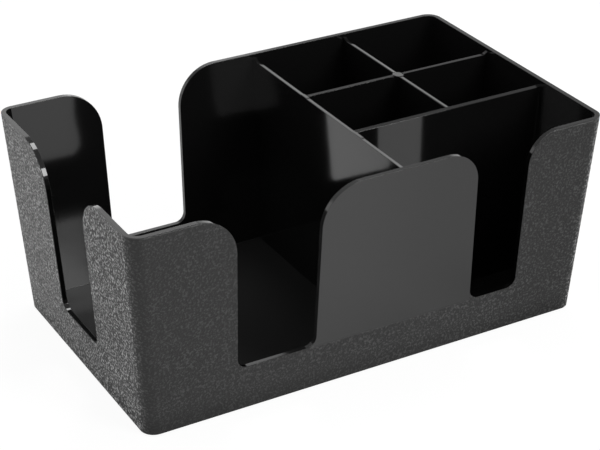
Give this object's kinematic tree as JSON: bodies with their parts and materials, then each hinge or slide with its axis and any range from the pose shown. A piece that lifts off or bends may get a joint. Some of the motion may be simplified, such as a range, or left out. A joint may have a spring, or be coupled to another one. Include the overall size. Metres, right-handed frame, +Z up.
{
  "type": "bar caddy",
  "caption": "Open-topped black plastic caddy with a napkin bay, small bays for straws and sticks, and rounded finger cut-outs.",
  "frame": {"origin": "on the surface the caddy stands on, under the middle of the tub", "axes": "+X along the caddy, from the napkin bay to the small bays; +Y from the front wall to the back wall; +Z up"},
  "size_m": [0.24, 0.146, 0.103],
  "materials": {
    "grained_black": "fine spark-eroded grain outside, gloss inside",
    "gloss_black": "gloss",
    "foot_rubber": "matt"
  },
  "bodies": {
    "root": {"tub": "grained_black", "long_partition": "gloss_black", "middle_divider": "gloss_black", "front_divider": "gloss_black", "back_cross_divider": "gloss_black", "front_cross_divider": "gloss_black", "foot_front_left": "foot_rubber", "foot_front_right": "foot_rubber", "foot_back_left": "foot_rubber", "foot_back_right": "foot_rubber"}
  },
  "joints": []
}
